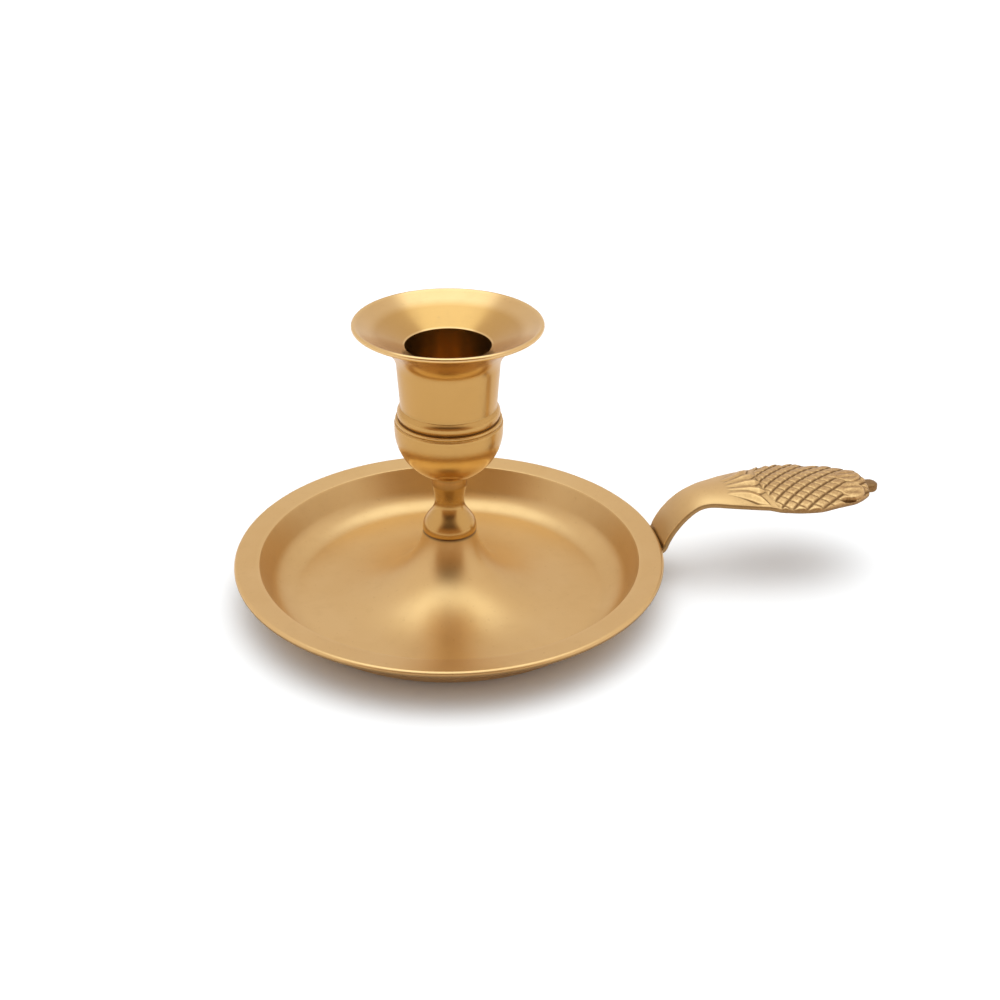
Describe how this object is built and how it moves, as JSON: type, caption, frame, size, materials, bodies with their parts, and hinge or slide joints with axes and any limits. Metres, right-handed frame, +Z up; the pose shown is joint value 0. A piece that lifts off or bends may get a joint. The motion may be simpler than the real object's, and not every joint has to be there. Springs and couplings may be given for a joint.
{
  "type": "chamberstick",
  "caption": "Low brass chamberstick: turned candle cup screwed to a round drip pan, with a flat thumb handle that ends in a scaled leaf.",
  "frame": {"origin": "on the pan's axis at the level of the table it stands on", "axes": "+X out along the handle, +Z up along the cup's axis"},
  "size_m": [0.1819, 0.118, 0.0801],
  "materials": {
    "pan_brass": "satin turned brass",
    "cup_brass": "satin turned brass",
    "cast_brass": "satin cast brass",
    "screw_brass": "machined brass",
    "braze_alloy": "matt brazing alloy"
  },
  "bodies": {
    "root": {"drip_pan": "pan_brass", "candle_cup": "cup_brass", "thumb_handle": "cast_brass", "cup_screw": "screw_brass", "screw_washer": "screw_brass", "handle_braze": "braze_alloy"}
  },
  "joints": []
}
